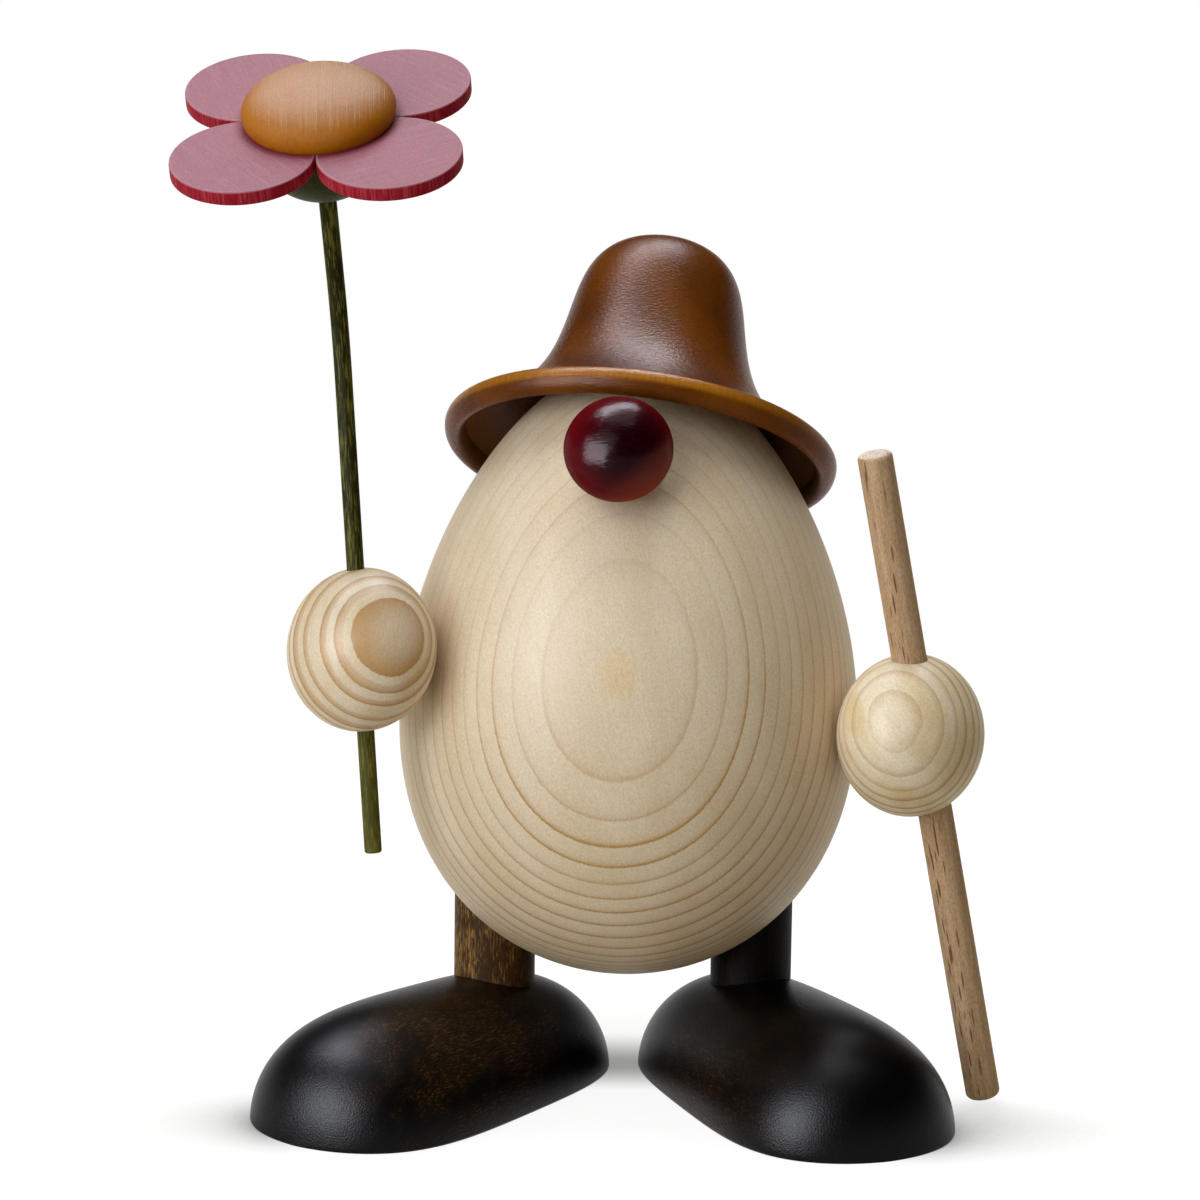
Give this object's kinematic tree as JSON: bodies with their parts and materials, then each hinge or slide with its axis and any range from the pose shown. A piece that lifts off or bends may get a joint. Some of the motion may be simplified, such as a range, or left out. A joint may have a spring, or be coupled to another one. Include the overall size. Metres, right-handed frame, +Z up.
{
  "type": "wooden egghead figurine",
  "caption": "Turned wooden egg figure on dowel legs, with a tilted bell hat, ball nose and ball hands that hold a flower and a staff; hat, hands and legs turn on pegs.",
  "frame": {"origin": "centre of the bounding box's base, on the surface that the figure stands on", "axes": "+Z up, -Y the way the figure faces, +X to the figure's own left"},
  "size_m": [0.1426, 0.0992, 0.1825],
  "materials": {
    "pale_wood": "satin clear lacquer over pale ringed softwood",
    "right_hand_wood": "satin clear lacquer, strong tan rings",
    "left_hand_wood": "satin clear lacquer, fine tan rings",
    "peg_wood": "plain dowel",
    "hat_stain": "brown stain, satin lacquer",
    "nose_lacquer": "burgundy stain, gloss lacquer",
    "leg_stain": "dark brown stain, satin",
    "foot_stain": "near-black brown stain, satin lacquer",
    "staff_wood": "natural beech with short dark flecks, matte",
    "stem_stain": "dark olive stain, matte",
    "calyx_stain": "olive green stain, satin",
    "petal_stain": "translucent pink stain, matte",
    "centre_stain": "ochre stain, satin"
  },
  "bodies": {
    "body": {"egg_body": "pale_wood", "nose": "nose_lacquer", "nose_peg": "peg_wood", "hat_peg": "peg_wood", "right_hand_peg": "peg_wood", "left_hand_peg": "peg_wood"},
    "hat": {"hat": "hat_stain"},
    "right_hand": {"right_hand": "right_hand_wood"},
    "flower": {"flower_stem": "stem_stain", "calyx": "calyx_stain", "petal_front_right": "petal_stain", "petal_front_left": "petal_stain", "petal_back_right": "petal_stain", "petal_back_left": "petal_stain", "flower_centre": "centre_stain"},
    "left_hand": {"left_hand": "left_hand_wood"},
    "staff": {"staff": "staff_wood"},
    "right_leg": {"right_leg": "leg_stain", "right_foot": "foot_stain"},
    "left_leg": {"left_leg": "leg_stain", "left_foot": "foot_stain"}
  },
  "joints": [
    {"name": "hat_turn", "type": "hinge", "parent": "body", "child": "hat", "pos_m": [0.0065, 0.01772, 0.11195], "axis": [0.1154, 0.4679, 0.8762], "continuous": true},
    {"name": "right_hand_turn", "type": "hinge", "parent": "body", "child": "right_hand", "pos_m": [-0.04103, -0.014, 0.08106], "axis": [-0.8763, -0.4406, 0.1949], "range_deg": [-25, 25]},
    {"name": "flower_slide", "type": "slide", "parent": "right_hand", "child": "flower", "axis": [-0.0696, 0.0609, 0.9957], "range_m": [-0.02, 0.015]},
    {"name": "left_hand_turn", "type": "hinge", "parent": "body", "child": "left_hand", "pos_m": [0.05359, -0.0125, 0.06717], "axis": [0.9127, -0.408, 0.0225], "range_deg": [0, 40]},
    {"name": "staff_slide", "type": "slide", "parent": "left_hand", "child": "staff", "axis": [-0.1932, -0.1026, 0.9758], "range_m": [0, 0.045]},
    {"name": "right_leg_turn", "type": "hinge", "parent": "body", "child": "right_leg", "pos_m": [-0.01816, 0.00831, 0.03], "axis": [0, 0, 1], "range_deg": [-15, 30]},
    {"name": "left_leg_turn", "type": "hinge", "parent": "body", "child": "left_leg", "pos_m": [0.02764, 0.01011, 0.03], "axis": [0, 0, 1], "range_deg": [-18, 7]}
  ]
}
